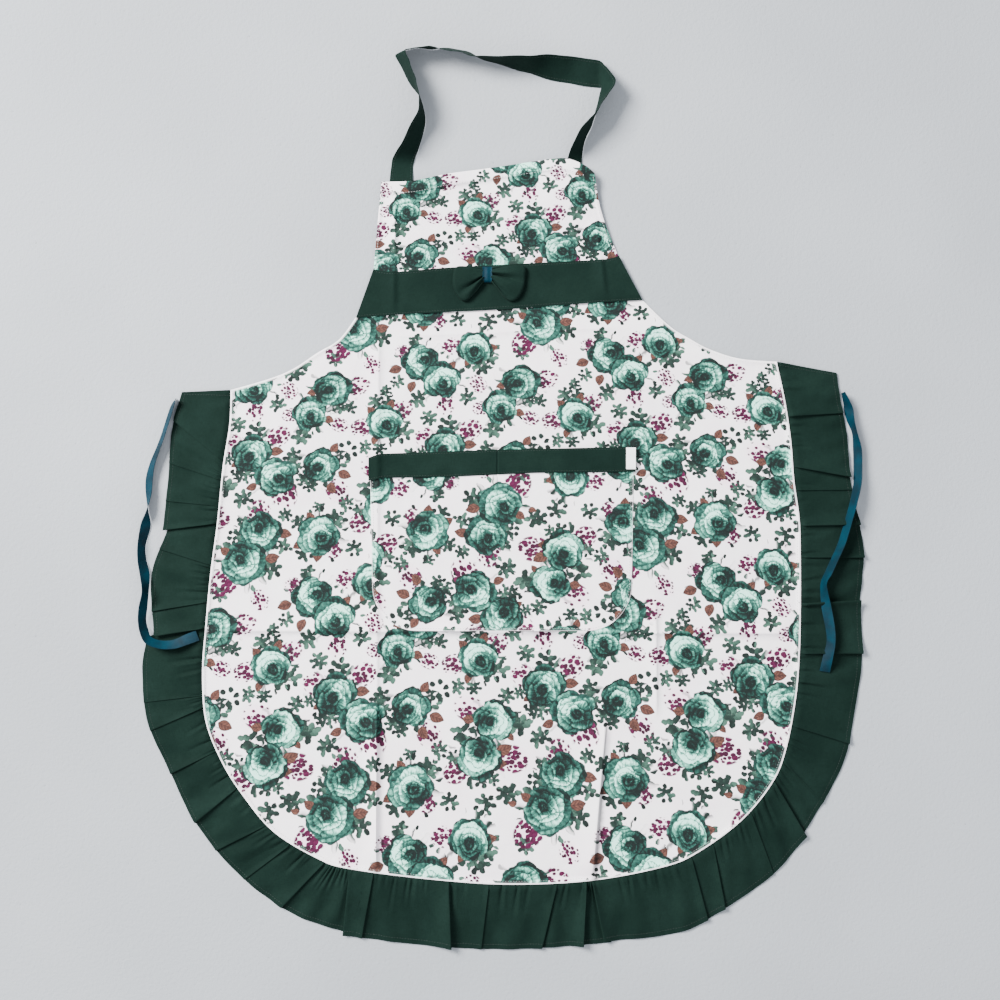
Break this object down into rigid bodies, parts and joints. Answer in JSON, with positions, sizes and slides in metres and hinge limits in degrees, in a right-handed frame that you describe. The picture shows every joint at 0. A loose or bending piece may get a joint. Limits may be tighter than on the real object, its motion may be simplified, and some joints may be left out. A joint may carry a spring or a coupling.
{
  "type": "bib apron",
  "caption": "Bib apron with a gathered frill, patch pocket, contrast chest band with a bow, a neck strap and waist ties, laid flat front up.",
  "frame": {"origin": "on the surface the apron lies on, at the middle of the apron's outline from frill to neck strap, without the waist ties", "axes": "+Z out of the cloth's front, +Y towards the neck strap, +X to the right of someone looking at the front"},
  "size_m": [0.6951, 0.8647, 0.0251],
  "materials": {
    "floral_cloth": "white plain-weave cloth printed with teal roses, rust leaves, grey-green sprigs and magenta berries",
    "green_cloth": "plain dark bottle green woven cloth with a soft sheen",
    "blue_ribbon": "teal blue woven ribbon",
    "label_tape": "blank white woven label tape"
  },
  "bodies": {
    "body": {"body_panel": "floral_cloth", "pocket_panel": "floral_cloth", "pocket_band": "green_cloth", "pocket_label": "label_tape", "frill_left_upper": "green_cloth", "frill_left_lower": "green_cloth", "frill_lower_left": "green_cloth", "frill_bottom": "green_cloth", "frill_lower_right": "green_cloth", "frill_right_lower": "green_cloth", "frill_right_upper": "green_cloth"},
    "bib": {"bib_panel": "floral_cloth", "chest_band": "green_cloth", "bow_loop_left": "green_cloth", "bow_loop_right": "green_cloth", "bow_knot": "blue_ribbon"},
    "strap": {"neck_strap": "green_cloth"},
    "tie_left": {"waist_tie_left": "blue_ribbon"},
    "tie_right": {"waist_tie_right": "blue_ribbon"}
  },
  "joints": [
    {"name": "bib_fold", "type": "hinge", "parent": "body", "child": "bib", "pos_m": [-0.00375, 0.18225, 0.0008], "axis": [0.9982, 0.06, 0], "range_deg": [0, 130]},
    {"name": "strap_fold", "type": "hinge", "parent": "bib", "child": "strap", "pos_m": [-0.015, 0.3125, 0.0008], "axis": [0.9942, 0.1078, 0], "range_deg": [0, 80]},
    {"name": "tie_left_lift", "type": "hinge", "parent": "body", "child": "tie_left", "pos_m": [-0.313, 0.0955, 0.0008], "axis": [-1, 0, 0], "range_deg": [0, 120]},
    {"name": "tie_right_lift", "type": "hinge", "parent": "body", "child": "tie_right", "pos_m": [0.325, 0.1013, 0.0008], "axis": [-1, 0, 0], "range_deg": [0, 120]}
  ]
}
